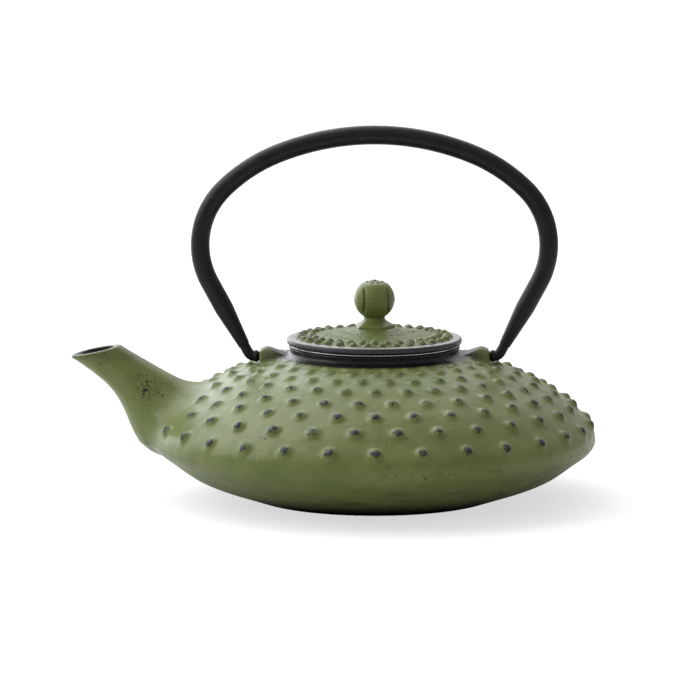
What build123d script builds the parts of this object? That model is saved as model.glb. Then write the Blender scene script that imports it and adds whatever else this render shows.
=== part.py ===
from build123d import *

import math
import os

# Cast iron teapot with a swinging bail, a lift-off lid and a lift-out steel strainer.
# Millimetres, +Z up. The origin is the centre of the foot, on the table. The spout points along -X.
# Outlines are (radius or x, height) pairs, drawn flat and then stood up on the XZ plane.

# ---- body casting ----
BODY_RADIUS = 88.9                # widest point of the body
BELLY_HEIGHT = 24.4               # height of the widest point
FOOT_RADIUS = 47.5                # flat disc that the pot stands on
COLLAR_RADIUS = 36.0              # outside of the collar where it leaves the dome
COLLAR_TOP_RADIUS = 34.4
SHOULDER_HEIGHT = 57.9            # where the dome meets the collar
RIM_HEIGHT = 61.3                 # top of the collar
THROAT_RADIUS = 30.0              # opening that the strainer drops through
WALL = 3.5
RIM_ROUNDING = 0.6
SHOULDER_FILLET = 1.2

LOWER_OUTLINE = [(FOOT_RADIUS, 0), (60.8, 4.5), (74.2, 10.2), (84.0, 17.3), (BODY_RADIUS, BELLY_HEIGHT)]
UPPER_OUTLINE = [(BODY_RADIUS, BELLY_HEIGHT), (85.3, 31.8), (76.6, 39.7), (60.7, 48.7),
                 (COLLAR_RADIUS, SHOULDER_HEIGHT)]
FOOT_SLOPE = (3.0, 1.0)           # direction of the outline as it leaves the foot
BELLY_SLOPE = (0.0, 1.0)          # direction at the widest point
SHOULDER_SLOPE = (-3.0, 1.0)      # direction as it meets the collar

# ---- spout: centre (x, z) of each section, thickness across it, width, rise of its axis, wall ----
SPOUT_SECTIONS = [
    ((-64.0, 26.0), 28.0, 34.0, 38.0, 3.5),
    ((-82.0, 33.2), 33.0, 33.0, 43.0, 3.5),
    ((-88.2, 38.2), 27.4, 27.0, 45.0, 3.3),
    ((-92.8, 43.4), 22.4, 22.6, 45.0, 3.1),
    ((-98.7, 49.2), 18.0, 18.6, 43.0, 2.9),
    ((-105.6, 54.5), 15.7, 16.4, 36.0, 2.7),
    ((-121.0, 64.0), 14.2, 15.6, 31.0, 2.5),
]
MOUTH_CENTRE = (-112.9, 59.3)     # middle of the slanted mouth
MOUTH_TILT = 11.8                 # slope of the mouth's plane, lower at the lip
LIP_ROUNDING = 0.7
ROOT_FILLET = 20.0                # flare where the spout grows out of the body

# ---- ears that carry the bail ----
EAR_FACE = 46.2                   # distance of the outer face from the pot's axis
EAR_HEIGHT = 61.1
EAR_OUTLINE = [(33.0, 50.0), (EAR_FACE, 50.0), (EAR_FACE, 59.6), (43.0, EAR_HEIGHT), (33.0, 56.9)]
EAR_WIDTH = 13.0
EAR_ROUNDING = 1.2
PIVOT_HEIGHT = 57.0               # axis of the bail's pins
SOCKET_RADIUS = 1.8
SOCKET_DEPTH = 6.4

# ---- bail: radius and turn of each arc from the top down, then a straight leg ----
BAIL_TOP = 146.1                  # centreline at its highest point
BAIL_ARCS = [(104.0, 22.0), (65.0, 23.0), (31.6, 73.4)]
LEG_LENGTH = 28.9                 # from the last arc down to the end of the tube
SWAGED_LENGTH = 16.8              # the part of the leg that tapers
TUBE_RADIUS = 3.8
TUBE_WALL = 1.0
TUBE_END_RADIUS = 2.3
PLUG_RADIUS = 1.3                 # the hook's stem inside the swaged end
PLUG_LENGTH = 9.0
HOOK_RADIUS = 2.1
HOOK_BEND = 3.0
PIN_RADIUS = 1.5
PIN_END_GAP = 0.6                 # between the pin's end and the bottom of its socket
SHOULDER_GAP = 0.8                # between the hook's shoulder and the ear
SHOULDER_RADIUS = 2.5
SHOULDER_WIDTH = 0.9

# ---- strainer ----
FLANGE_RADIUS = 33.9
FLANGE_THICKNESS = 0.8
CUFF_HEIGHT = 5.0                 # plain steel under the flange
BASKET_RADIUS = 29.4
BASKET_WALL = 0.5
BASKET_DEPTH = 42.0
CRIMP_THICKNESS = 0.25
CRIMP_HEIGHT = 2.4
CRIMP_LIP = 2.5

# ---- lid ----
LID_RADIUS = 35.2
LID_SEAT = RIM_HEIGHT + FLANGE_THICKNESS
LID_EDGE_HEIGHT = 2.6
LID_EDGE_ROUNDING = 1.0
LID_WALL = 3.0
KNOB_SEAT = 68.2
LID_TOP_OUTLINE = [(8.6, KNOB_SEAT), (15.0, 66.6), (24.0, 65.4), (31.6, LID_SEAT + LID_EDGE_HEIGHT)]
SKIRT_RADIUS = 28.5
SKIRT_WALL = 2.9
SKIRT_DEPTH = 5.0
VENT_DISTANCE = 15.7              # small steam vent on the side away from the spout
VENT_RADIUS = 1.1

# ---- knob, and the screw that holds it ----
KNOB_FOOT_RADIUS = 8.4
KNOB_FOOT_EDGE = 0.6
KNOB_NECK_RADIUS = 3.95
KNOB_BALL_RADIUS = 8.2
KNOB_BALL_HEIGHT = 80.1
KNOB_CAP_RADIUS = 4.7
KNOB_CAP_TOP = 87.5
KNOB_BUD_RADIUS = 1.25
KNOB_TOP = 88.1
SCREW_RADIUS = 1.9
SCREW_CLEARANCE = 0.3             # round the screw where it passes through lid and washer
SCREW_ENGAGEMENT = 8.0
SCREW_HEAD_RADIUS = 3.6
SCREW_HEAD_HEIGHT = 2.2
SCREW_SLOT = (1.0, 0.9)           # width and depth of the driver's slot
WASHER_RADIUS = 5.5
WASHER_THICKNESS = 0.8

OVERSHOOT = 5.0                   # how far a cutting tool runs past the surface that it opens
MATCH = 0.01                      # tolerance for finding an edge by its place or size


def upright(shape):
    """Stand a shape drawn in the XY plane up on the XZ plane."""
    return Plane.XZ * shape


def turned(edges):
    """Turn a closed outline, drawn as (radius, height), about the pot's axis."""
    return revolve(upright(make_face(Wire(edges))), Axis.Z)


def turned_polygon(points):
    """Turn a closed outline that has only straight sides about the pot's axis."""
    return turned(Polyline(*points, close=True).edges())


def disc(radius, low, high):
    """A round disc or rod on the pot's axis, between two heights."""
    return Pos(0, 0, low) * Cylinder(radius, high - low, align=(Align.CENTER, Align.CENTER, Align.MIN))


def shifted(points, slope_in, slope_out, distance):
    """Move the points of an outline into the pot by a wall's thickness, square to the outline."""
    moved = []
    for i, (r, z) in enumerate(points):
        if i == 0:
            dr, dz = slope_in
        elif i == len(points) - 1:
            dr, dz = slope_out
        else:
            dr = points[i + 1][0] - points[i - 1][0]
            dz = points[i + 1][1] - points[i - 1][1]
        length = math.hypot(dr, dz)
        moved.append((r - distance * dz / length, z + distance * dr / length))
    return moved


# ---- pot ----

def body_solid(lower_points, upper_points, top):
    """Solid of revolution up to a height; its outline ends in the straight collar points in top."""
    lower = Spline(*lower_points, tangents=(FOOT_SLOPE, BELLY_SLOPE))
    upper = Spline(*upper_points, tangents=(BELLY_SLOPE, SHOULDER_SLOPE))
    foot_centre = (0, lower_points[0][1])
    rim_centre = (0, top[-1][1])
    collar = Polyline(upper_points[-1], *top, rim_centre, foot_centre, lower_points[0])
    return turned([lower, upper, *collar.edges()])


def ring_edges(solid, height):
    """Round edges of a solid at a height."""
    rings = solid.edges().filter_by(GeomType.CIRCLE)
    return [ring for ring in rings if abs(ring.center().Z - height) < MATCH]


def pot_outside():
    """Outer form of body and collar."""
    outside = body_solid(LOWER_OUTLINE, UPPER_OUTLINE, [(COLLAR_TOP_RADIUS, RIM_HEIGHT)])
    outside = fillet(ring_edges(outside, SHOULDER_HEIGHT), SHOULDER_FILLET)
    return fillet(ring_edges(outside, RIM_HEIGHT), RIM_ROUNDING)


def pot_cavity():
    """Space inside the body, with the throat that opens it at the top."""
    lower_points = shifted(LOWER_OUTLINE, FOOT_SLOPE, BELLY_SLOPE, WALL)
    upper_points = shifted(UPPER_OUTLINE, BELLY_SLOPE, SHOULDER_SLOPE, WALL)
    r, z = upper_points[-1]
    throat_foot = z - (r - THROAT_RADIUS) * SHOULDER_SLOPE[1] / SHOULDER_SLOPE[0]
    throat = [(THROAT_RADIUS, throat_foot), (THROAT_RADIUS, RIM_HEIGHT + OVERSHOOT)]
    return body_solid(lower_points, upper_points, throat)


def spout_loft(inset):
    """Spout's form, smaller all round by its own wall times inset, cut off at the mouth or past it."""
    sections = []
    for (x, z), thickness, width, rise, wall in SPOUT_SECTIONS:
        angle = math.radians(rise)
        plane = Plane((x, 0, z), x_dir=(0, 1, 0), z_dir=(-math.cos(angle), 0, math.sin(angle)))
        sections.append(plane * Ellipse(width / 2 - inset * wall, thickness / 2 - inset * wall))
    return loft(sections)


def mouth_plane():
    """Slanted plane of the mouth, facing up and out."""
    tilt = math.radians(MOUTH_TILT)
    return Plane((MOUTH_CENTRE[0], 0, MOUTH_CENTRE[1]), z_dir=(-math.sin(tilt), 0, math.cos(tilt)))


def spout():
    """Outer form of the spout, cut at the slanted mouth."""
    return split(spout_loft(0), bisect_by=mouth_plane(), keep=Keep.BOTTOM)


def ear():
    """Arched ear on the +X side, without its socket."""
    side = extrude(upright(make_face(Polyline(*EAR_OUTLINE, close=True))), EAR_WIDTH, both=True)
    arch_radius = EAR_WIDTH / 2
    arch_centre = EAR_HEIGHT - arch_radius
    foot = EAR_OUTLINE[0][1] - OVERSHOOT
    arch = Pos(0, arch_centre) * Circle(arch_radius)
    arch += Pos(0, (arch_centre + foot) / 2) * Rectangle(EAR_WIDTH, arch_centre - foot)
    block = side & extrude(Plane.YZ * arch, EAR_FACE + OVERSHOOT)
    face_edges = block.faces().sort_by(Axis.X)[-1].edges()
    return fillet([e for e in face_edges if e.center().Z > EAR_OUTLINE[0][1] + 0.1], EAR_ROUNDING)


def socket():
    """Cutting tool for the blind hole in the +X ear."""
    depth = SOCKET_DEPTH + OVERSHOOT
    rod = Cylinder(SOCKET_RADIUS, depth, align=(Align.CENTER, Align.CENTER, Align.MIN))
    return Pos(EAR_FACE - SOCKET_DEPTH, 0, PIVOT_HEIGHT) * Rot(0, 90, 0) * rod


def body_with_spout():
    """Solid body and spout, joined by a wide flare."""
    body = pot_outside()
    outlet = spout()
    joined = body + outlet
    seam = []
    for edge in joined.edges():
        point = Vertex(*edge.position_at(0.4))
        if body.distance_to(point) < MATCH and outlet.distance_to(point) < MATCH:
            seam.append(edge)
    return fillet(seam, ROOT_FILLET)


def pot_body():
    """Body, spout, collar and ears in one casting, hollow, with open spout and blind sockets."""
    casting = body_with_spout() + ear() + mirror(ear(), Plane.YZ)
    casting = casting - pot_cavity() - spout_loft(1) - socket() - mirror(socket(), Plane.YZ)
    lip = [edge for edge in casting.edges() if abs(mouth_plane().to_local_coords(edge.center()).Z) < MATCH
           and edge.center().X < SPOUT_SECTIONS[1][0][0]]
    return fillet(lip, LIP_ROUNDING)


# ---- bail ----

def bail_curve():
    """Right half of the tube's centreline, from the top to the start of the swaged end."""
    edges = []
    point = Vector(0, BAIL_TOP)
    heading = Vector(1, 0)
    for radius, turn in BAIL_ARCS:
        arc = JernArc(point, heading, radius, -turn)
        edges.append(arc)
        point = arc @ 1
        heading = arc % 1
    edges.append(Line(point, point + heading * (LEG_LENGTH - SWAGED_LENGTH)))
    return upright(Wire(edges))


def rod_along(path, radius):
    """Round rod along a path."""
    return sweep(Plane(path @ 0, z_dir=path % 0) * Circle(radius), path)


def leg_plane(distance):
    """Plane square to the right leg, this far below the start of the swaged end, looking down it."""
    curve = bail_curve()
    return Plane(curve @ 1 + (curve % 1) * distance, z_dir=curve % 1)


def tapered(base_radius, end_radius, length):
    """Cone or rod that runs down the leg from the start of the swaged end."""
    base = leg_plane(0) * Circle(base_radius)
    end = leg_plane(length) * Circle(end_radius)
    return loft([base, end])


def stem(start, end):
    """Rod of the hook's stem, between two distances down the leg."""
    return loft([leg_plane(start) * Circle(PLUG_RADIUS), leg_plane(end) * Circle(PLUG_RADIUS)])


def bail_tube():
    """Bent hollow tube with both ends swaged down round the hooks' stems."""
    curve = bail_curve()
    bore_radius = TUBE_RADIUS - TUBE_WALL
    cone_length = SWAGED_LENGTH - PLUG_LENGTH
    outer = rod_along(curve, TUBE_RADIUS) + tapered(TUBE_RADIUS, TUBE_END_RADIUS, SWAGED_LENGTH)
    inner = rod_along(curve, bore_radius) + tapered(bore_radius, PLUG_RADIUS, cone_length)
    half = outer - inner - stem(SWAGED_LENGTH - PLUG_LENGTH, SWAGED_LENGTH)
    return half + mirror(half, Plane.YZ)


def bail_hook():
    """Steel hook in the right end of the tube: stem, bend, shoulder and the pin that turns in the ear."""
    start = leg_plane(SWAGED_LENGTH).origin
    direction = leg_plane(SWAGED_LENGTH).z_dir
    corner = start + direction * ((PIVOT_HEIGHT - start.Z) / direction.Z)
    shoulder_x = EAR_FACE + SHOULDER_GAP
    shoulder = Vector(shoulder_x, 0, PIVOT_HEIGHT)
    bend = FilletPolyline(start, corner, shoulder, radius=HOOK_BEND)
    hook = rod_along(bend, HOOK_RADIUS) + stem(SWAGED_LENGTH - PLUG_LENGTH, SWAGED_LENGTH)
    pin_end = EAR_FACE - SOCKET_DEPTH + PIN_END_GAP
    for radius, low, high in ((PIN_RADIUS, pin_end, shoulder_x + SHOULDER_WIDTH),
                              (SHOULDER_RADIUS, shoulder_x, shoulder_x + SHOULDER_WIDTH)):
        rod = Cylinder(radius, high - low, align=(Align.CENTER, Align.CENTER, Align.MIN))
        hook += Pos(low, 0, PIVOT_HEIGHT) * Rot(0, 90, 0) * rod
    return hook


# ---- strainer ----

BASKET_INSIDE = BASKET_RADIUS - BASKET_WALL
CUFF_BOTTOM = RIM_HEIGHT - CUFF_HEIGHT
BASKET_BOTTOM = RIM_HEIGHT - BASKET_DEPTH


def infuser_rim():
    """Flange that rests on the collar, with the cuff that holds the mesh."""
    return turned_polygon([
        (BASKET_INSIDE, CUFF_BOTTOM), (BASKET_RADIUS, CUFF_BOTTOM), (BASKET_RADIUS, RIM_HEIGHT),
        (FLANGE_RADIUS, RIM_HEIGHT), (FLANGE_RADIUS, LID_SEAT), (BASKET_INSIDE, LID_SEAT),
    ])


def infuser_wall():
    """Round mesh wall of the basket."""
    return disc(BASKET_RADIUS, BASKET_BOTTOM, CUFF_BOTTOM) - disc(BASKET_INSIDE, BASKET_BOTTOM, CUFF_BOTTOM)


def infuser_base():
    """Mesh bottom of the basket."""
    return disc(BASKET_INSIDE, BASKET_BOTTOM, BASKET_BOTTOM + BASKET_WALL)


def infuser_ring():
    """Crimped hoop round the bottom edge, with a lip under the mesh."""
    outside = BASKET_RADIUS + CRIMP_THICKNESS
    low = BASKET_BOTTOM - CRIMP_THICKNESS
    return turned_polygon([
        (BASKET_RADIUS - CRIMP_LIP, low), (outside, low), (outside, low + CRIMP_HEIGHT),
        (BASKET_RADIUS, low + CRIMP_HEIGHT), (BASKET_RADIUS, BASKET_BOTTOM),
        (BASKET_RADIUS - CRIMP_LIP, BASKET_BOTTOM),
    ])


# ---- lid ----

def lid():
    """Shallow concave cone with a rounded edge, a skirt below, a screw hole and a steam vent."""
    under_outline = [(r, z - LID_WALL) for r, z in LID_TOP_OUTLINE]
    edge_top = LID_SEAT + LID_EDGE_HEIGHT
    skirt_inside = SKIRT_RADIUS - SKIRT_WALL
    skirt_bottom = LID_SEAT - SKIRT_DEPTH
    cone = Spline(*LID_TOP_OUTLINE, tangents=((1, -0.45), (1, -0.05)))
    edge = Polyline(LID_TOP_OUTLINE[-1], (LID_RADIUS, edge_top), (LID_RADIUS, LID_SEAT),
                    (SKIRT_RADIUS, LID_SEAT), (SKIRT_RADIUS, skirt_bottom), (skirt_inside, skirt_bottom),
                    (skirt_inside, under_outline[-1][1]))
    hollow_points = [(skirt_inside, under_outline[-1][1]), *under_outline[-3::-1]]
    hollow = Spline(*hollow_points, tangents=((-1, 0.05), (-1, 0.45)))
    middle = Polyline(under_outline[0], (0, under_outline[0][1]), (0, KNOB_SEAT), LID_TOP_OUTLINE[0])
    solid = turned([cone, *edge.edges(), hollow, *middle.edges()])
    rings = solid.edges().filter_by(GeomType.CIRCLE)
    rim = [ring for ring in rings if abs(ring.radius - LID_RADIUS) < MATCH]
    solid = fillet(rim, LID_EDGE_ROUNDING)
    screw_hole = disc(SCREW_RADIUS + SCREW_CLEARANCE, skirt_bottom, KNOB_SEAT + OVERSHOOT)
    vent = Pos(VENT_DISTANCE, 0, 0) * disc(VENT_RADIUS, skirt_bottom, KNOB_SEAT)
    return solid - screw_hole - vent


def knob():
    """Flared foot, neck, ball, flat cap and bud, with a blind hole for the screw."""
    reach = math.sqrt(KNOB_BALL_RADIUS ** 2 - KNOB_NECK_RADIUS ** 2)
    neck = (KNOB_NECK_RADIUS, KNOB_BALL_HEIGHT - reach)
    cap = (KNOB_CAP_RADIUS, KNOB_BALL_HEIGHT + math.sqrt(KNOB_BALL_RADIUS ** 2 - KNOB_CAP_RADIUS ** 2))
    foot_top = (KNOB_FOOT_RADIUS, KNOB_SEAT + KNOB_FOOT_EDGE)
    flare = Spline(foot_top, neck, tangents=((-1, 0.2), (0, 1)))
    ball = ThreePointArc(neck, (KNOB_BALL_RADIUS, KNOB_BALL_HEIGHT), cap)
    top = Polyline(cap, (KNOB_CAP_RADIUS, KNOB_CAP_TOP), (KNOB_BUD_RADIUS, KNOB_CAP_TOP),
                   (KNOB_BUD_RADIUS * 0.7, KNOB_TOP), (0, KNOB_TOP), (0, KNOB_SEAT),
                   (KNOB_FOOT_RADIUS, KNOB_SEAT), foot_top)
    solid = turned([flare, ball, *top.edges()])
    return solid - disc(SCREW_RADIUS, KNOB_SEAT - OVERSHOOT, KNOB_SEAT + SCREW_ENGAGEMENT)


WASHER_TOP = KNOB_SEAT - LID_WALL
HEAD_TOP = WASHER_TOP - WASHER_THICKNESS


def knob_washer():
    """Flat washer between the lid and the screw's head."""
    hole = disc(SCREW_RADIUS + SCREW_CLEARANCE, HEAD_TOP, WASHER_TOP)
    return disc(WASHER_RADIUS, HEAD_TOP, WASHER_TOP) - hole


def knob_screw():
    """Slotted screw, up through the washer and lid into the knob."""
    head_bottom = HEAD_TOP - SCREW_HEAD_HEIGHT
    head = disc(SCREW_HEAD_RADIUS, head_bottom, HEAD_TOP)
    shank = disc(SCREW_RADIUS, HEAD_TOP, KNOB_SEAT + SCREW_ENGAGEMENT)
    width, depth = SCREW_SLOT
    slot = Pos(0, 0, head_bottom + depth / 2) * Box(2 * SCREW_HEAD_RADIUS + 1, width, depth)
    return head + shank - slot


hook = bail_hook()
NODES = {
    "pot_body": pot_body(),
    "bail_tube": bail_tube(),
    "bail_hook_back_side": hook,
    "bail_hook_spout_side": mirror(hook, Plane.YZ),
    "infuser_rim": infuser_rim(),
    "infuser_wall": infuser_wall(),
    "infuser_base": infuser_base(),
    "infuser_ring": infuser_ring(),
    "lid": lid(),
    "knob": knob(),
    "knob_screw": knob_screw(),
    "knob_washer": knob_washer(),
}

os.makedirs("parts", exist_ok=True)
for node, shape in NODES.items():
    export_step(shape, f"parts/{node}.step")

litres = (pot_cavity() & disc(BODY_RADIUS, 0, CUFF_BOTTOM)).volume / 1e6
print(f"capacity up to the throat: {litres:.2f} litres")
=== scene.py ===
import math

import bpy
import numpy as np
import openvdb
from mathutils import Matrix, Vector


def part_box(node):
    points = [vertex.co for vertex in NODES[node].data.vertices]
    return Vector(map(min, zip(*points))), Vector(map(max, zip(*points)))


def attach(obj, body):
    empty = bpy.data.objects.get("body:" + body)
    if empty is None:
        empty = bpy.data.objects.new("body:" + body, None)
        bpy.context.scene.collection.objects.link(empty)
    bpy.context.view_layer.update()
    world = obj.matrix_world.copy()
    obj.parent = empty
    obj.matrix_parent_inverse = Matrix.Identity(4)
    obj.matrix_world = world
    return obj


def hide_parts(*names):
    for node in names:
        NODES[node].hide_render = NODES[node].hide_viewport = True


# Looks of the cast iron teapot. Metres, in the CAD frame: +Z up, the spout points along -X.
# The castings are rebuilt from distance fields: each starts as the CAD node's own field, then gets the
# relief that the real casting has (hobnails, lid studs, knob panels), and is meshed again.

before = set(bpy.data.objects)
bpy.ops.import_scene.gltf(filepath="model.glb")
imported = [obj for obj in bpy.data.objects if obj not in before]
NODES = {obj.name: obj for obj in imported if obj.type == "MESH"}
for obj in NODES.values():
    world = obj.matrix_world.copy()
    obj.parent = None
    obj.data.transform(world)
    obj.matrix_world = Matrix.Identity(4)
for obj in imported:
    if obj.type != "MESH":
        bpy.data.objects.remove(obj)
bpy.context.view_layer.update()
random = np.random.default_rng(7)

MM = 0.001


# ---------------------------------------------------------------- distance fields

class Field:
    """Signed distance to a CAD node on a regular grid, negative inside the metal.

    It is exact up to band voxels from the surface, and the grid ends margin metres outside the node's box.
    """

    def __init__(self, node, voxel, band=6.0, margin=4.0 * MM):
        mesh = NODES[node].data
        mesh.calc_loop_triangles()
        points = np.empty(len(mesh.vertices) * 3, np.float32)
        mesh.vertices.foreach_get("co", points)
        corners = np.empty(len(mesh.loop_triangles) * 3, np.int32)
        mesh.loop_triangles.foreach_get("vertices", corners)
        low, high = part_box(node)
        self.voxel = voxel
        self.first = [math.floor((low[i] - margin) / voxel) for i in range(3)]
        size = [math.ceil((high[i] + margin) / voxel) - self.first[i] for i in range(3)]
        grid = openvdb.FloatGrid.createLevelSetFromPolygons(
            points.reshape(-1, 3), triangles=corners.reshape(-1, 3).astype(np.uint32),
            transform=openvdb.createLinearTransform(voxelSize=voxel), halfWidth=band)
        self.values = np.empty(size, np.float32)
        grid.copyToArray(self.values, ijk=tuple(self.first))
        self.background = band * voxel
        self.axes = [(self.first[i] + np.arange(size[i])) * voxel for i in range(3)]

    def coordinates(self):
        """Sparse x, y and z of the whole grid."""
        return np.meshgrid(*self.axes, indexing="ij", sparse=True)

    def window(self, low, high):
        """Index ranges of the part of the grid between two corners, and its sparse coordinates."""
        ranges = []
        for axis, start, end in zip(self.axes, low, high):
            ranges.append(slice(int(np.searchsorted(axis, start)), int(np.searchsorted(axis, end))))
        axes = [axis[part] for axis, part in zip(self.axes, ranges)]
        return tuple(ranges), np.meshgrid(*axes, indexing="ij", sparse=True)

    def sample(self, points):
        """Field at points (n, 3), by trilinear interpolation."""
        at = points / self.voxel - np.array(self.first)
        just_inside = np.array(self.values.shape) - 1.001
        at = np.clip(at, 0, just_inside)
        base = at.astype(int)
        part = at - base
        total = np.zeros(len(points))
        for corner in np.ndindex(2, 2, 2):
            weight = np.prod(np.where(corner, part, 1 - part), axis=1)
            i, j, k = (base + corner).T
            total += weight * self.values[i, j, k]
        return total

    def add_dome(self, centre, radius, blend):
        """Join a ball to the metal with a soft root."""
        reach = radius + blend
        ranges, (x, y, z) = self.window([c - reach for c in centre], [c + reach for c in centre])
        ball = np.sqrt((x - centre[0]) ** 2 + (y - centre[1]) ** 2 + (z - centre[2]) ** 2) - radius
        self.values[ranges] = soft_minimum(self.values[ranges], ball, blend)

    def soften(self, low, high, passes):
        """Round the edges and corners in part of the grid, as in a sand casting."""
        ranges, _ = self.window(low, high)
        block = self.values[ranges]
        for _ in range(passes):
            mean = np.zeros_like(block[1:-1, 1:-1, 1:-1])
            for axis in range(3):
                for step in (-1, 1):
                    mean += np.roll(block, step, axis)[1:-1, 1:-1, 1:-1]
            block[1:-1, 1:-1, 1:-1] = mean / 6
        self.values[ranges] = block

    def mesh(self, name, adaptivity=0.0):
        """Closed mesh of the surface, as a smooth-shaded object."""
        grid = openvdb.FloatGrid(self.background)
        grid.copyFromArray(self.values, ijk=tuple(self.first))
        grid.transform = openvdb.createLinearTransform(voxelSize=self.voxel)
        points, triangles, quads = grid.convertToPolygons(adaptivity=adaptivity)
        mesh = bpy.data.meshes.new(name)
        mesh.from_pydata(points.tolist(), [], triangles.tolist() + quads.tolist())
        piece = new_object(name, mesh)
        mesh.normals_split_custom_set_from_vertices(self.slope(positions(piece)))
        return piece

    def slope(self, points):
        """Unit normals of the surface at points, from the field itself."""
        rise = [self.sample(points + self.voxel * step) - self.sample(points - self.voxel * step)
                for step in np.eye(3)]
        rise = np.stack(rise, axis=1)
        return rise / np.linalg.norm(rise, axis=1, keepdims=True)


def soft_minimum(a, b, blend):
    """Smaller of two distances, with a rounded join as wide as blend."""
    overlap = np.maximum(blend - np.abs(a - b), 0) / blend
    return np.minimum(a, b) - overlap * overlap * blend / 4


def new_object(name, mesh):
    """Object with a smooth-shaded mesh."""
    mesh.polygons.foreach_set("use_smooth", [True] * len(mesh.polygons))
    mesh.update()
    piece = bpy.data.objects.new(name, mesh)
    bpy.context.scene.collection.objects.link(piece)
    return piece


def positions(piece):
    """Vertex positions as an (n, 3) array."""
    points = np.empty(len(piece.data.vertices) * 3)
    piece.data.vertices.foreach_get("co", points)
    return points.reshape(-1, 3)


def normals(piece):
    """Vertex normals as an (n, 3) array."""
    points = np.empty(len(piece.data.vertices) * 3, np.float32)
    piece.data.vertex_normals.foreach_get("vector", points)
    return points.reshape(-1, 3)


def paint(piece, name, values):
    """Store one number for each vertex, for a material to read."""
    layer = piece.data.attributes.new(name, "FLOAT", "POINT")
    layer.data.foreach_set("value", np.asarray(values, np.float32))


# ---------------------------------------------------------------- materials

class Nodes:
    """Short way to build a material's node tree."""

    def __init__(self, name):
        self.material = bpy.data.materials.new(name)
        self.material.use_nodes = True
        self.tree = self.material.node_tree
        self.shader = self.tree.nodes["Principled BSDF"]

    def node(self, kind, inputs=None, **settings):
        """New node, with its inputs given by name and its settings as keywords."""
        made = self.tree.nodes.new(kind)
        for key, value in settings.items():
            setattr(made, key, value)
        for key, value in (inputs or {}).items():
            self.put(made.inputs[key], value)
        return made

    def put(self, socket, value):
        """Link a socket to an output, or set it to a fixed value."""
        if isinstance(value, bpy.types.NodeSocket):
            self.tree.links.new(value, socket)
        else:
            socket.default_value = value

    def noise(self, scale, detail=4.0, roughness=0.55, stretch=None):
        """Noise in metres: scale is waves per metre."""
        place = self.node("ShaderNodeTexCoord").outputs["Object"]
        if stretch:
            place = self.node("ShaderNodeMapping", {"Vector": place, "Scale": stretch}).outputs["Vector"]
        inputs = {"Vector": place, "Scale": scale, "Detail": detail, "Roughness": roughness}
        return self.node("ShaderNodeTexNoise", inputs).outputs["Fac"]

    def dots(self, scale, strength):
        """Small round bumps: scale is bumps per metre."""
        place = self.node("ShaderNodeTexCoord").outputs["Object"]
        inputs = {"Vector": place, "Scale": scale, "Randomness": 0.45}
        distance = self.node("ShaderNodeTexVoronoi", inputs).outputs["Distance"]
        return self.maths("MULTIPLY", self.ramp(distance, 0.10, 0.60, 1.0, 0.0), strength)

    def ramp(self, value, low, high, start=0.0, end=1.0):
        """Smooth step of a value, from start at low to end at high."""
        inputs = {"Value": value, "From Min": low, "From Max": high, "To Min": start, "To Max": end}
        return self.node("ShaderNodeMapRange", inputs, interpolation_type="SMOOTHSTEP").outputs["Result"]

    def maths(self, operation, a, b):
        """Sum, product or other operation on two numbers."""
        made = self.node("ShaderNodeMath", operation=operation)
        self.put(made.inputs[0], a)
        self.put(made.inputs[1], b)
        return made.outputs["Value"]

    def mix(self, factor, a, b):
        """Mix of two colours."""
        made = self.node("ShaderNodeMix", data_type="RGBA")
        self.put(made.inputs["Factor"], factor)
        self.put(made.inputs["A"], a)
        self.put(made.inputs["B"], b)
        return made.outputs["Result"]

    def attribute(self, name):
        """Number painted on the vertices."""
        return self.node("ShaderNodeAttribute", attribute_name=name).outputs["Fac"]

    def height(self):
        """Height above the floor with the pot at rest, in metres."""
        place = self.node("ShaderNodeTexCoord").outputs["Object"]
        return self.node("ShaderNodeSeparateXYZ", {"Vector": place}).outputs["Z"]

    def bump(self, height, distance, below=None):
        """Bump of a 0 to 1 height, distance metres deep."""
        inputs = {"Height": height, "Distance": distance}
        if below:
            inputs["Normal"] = below
        return self.node("ShaderNodeBump", inputs).outputs["Normal"]

    def finish(self, **sockets):
        """Fill the shader's sockets and return the material."""
        for name, value in sockets.items():
            self.put(self.shader.inputs[name.replace("_", " ")], value)
        return self.material


WHITE = (1, 1, 1, 1)
GREEN = (0.118, 0.148, 0.037, 1)
GREEN_PALE = (0.140, 0.169, 0.049, 1)
GREEN_DEEP = (0.080, 0.105, 0.023, 1)
GREEN_SOOTY = (0.030, 0.038, 0.014, 1)
IRON = (0.064, 0.065, 0.069, 1)
IRON_WORN = (0.370, 0.365, 0.340, 1)
IRON_DARK = (0.009, 0.010, 0.010, 1)
BLACK = (0.007, 0.008, 0.008, 1)
PAINT_DARK = (0.004, 0.004, 0.004, 1)
PAINT_PALE = (0.009, 0.009, 0.009, 1)
STEEL_DULL = (0.52, 0.52, 0.50, 1)
STEEL_BRIGHT = (0.70, 0.70, 0.68, 1)
MIDDLE = (0.3, 0.7)               # part of a noise's range that is spread over a whole ramp
STREAK_FADE = (12 * MM, 19 * MM)  # heights between which the level streaks near the foot fade out
GLOSS_RISE = (0.0, 16 * MM)       # heights between which the dull foot becomes glossy
CHIP_SPREAD = 0.42                # how far the ragged edge of a chip wanders, in wear
CHIP_EDGE = (0.46, 0.62)          # wear at which the enamel is gone
METAL_CLEAN = (0.96, 1.02)        # painted wear at which the metal loses its dark cracks
METAL_PALE = (1.50, 1.90)         # wear at which the metal is rubbed pale
BLACKENED = (0.6, 1.0)            # painted darkness at which the coat is smoother and less glossy
CASTING_DEPTH = 0.22 * MM
STREAK_DEPTH = 0.35 * MM
GRIT_DEPTH = 0.08 * MM
STIPPLE_DEPTH = 0.35 * MM
CHIP_DEPTH = 0.12 * MM


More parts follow.
